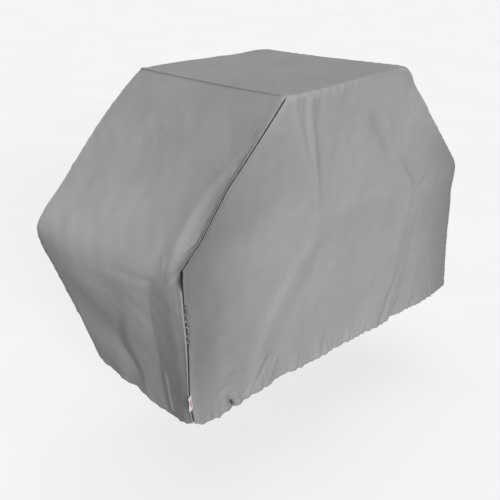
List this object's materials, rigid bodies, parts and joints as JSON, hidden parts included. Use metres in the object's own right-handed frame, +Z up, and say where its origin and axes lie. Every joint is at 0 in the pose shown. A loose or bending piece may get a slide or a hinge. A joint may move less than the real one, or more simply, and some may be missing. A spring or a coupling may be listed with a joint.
{
  "type": "fabric grill cover",
  "caption": "Fitted grey fabric cover for a cart grill with side shelves: level top, sloping sides, straight skirts and a gathered hem, draped as in use.",
  "frame": {"origin": "middle of the underside of the top panel, where the grill's hood carries the cover", "axes": "+X along the cover's width to the right as seen from the front, +Y from front to back, +Z up"},
  "size_m": [1.3814, 0.635, 0.9187],
  "materials": {
    "cover_cloth": "matte",
    "binding_tape": "matte",
    "hem_elastic": "matte",
    "label_cloth": "satin"
  },
  "bodies": {
    "root": {"top_panel": "cover_cloth", "front_panel": "cover_cloth", "back_panel": "cover_cloth", "left_side_panel": "cover_cloth", "right_side_panel": "cover_cloth", "front_seam_binding": "binding_tape", "back_seam_binding": "binding_tape", "left_top_binding": "binding_tape", "right_top_binding": "binding_tape", "front_hem_casing": "cover_cloth", "back_hem_casing": "cover_cloth", "left_hem_casing": "cover_cloth", "right_hem_casing": "cover_cloth", "hem_elastic": "hem_elastic", "side_label": "label_cloth"}
  },
  "joints": []
}
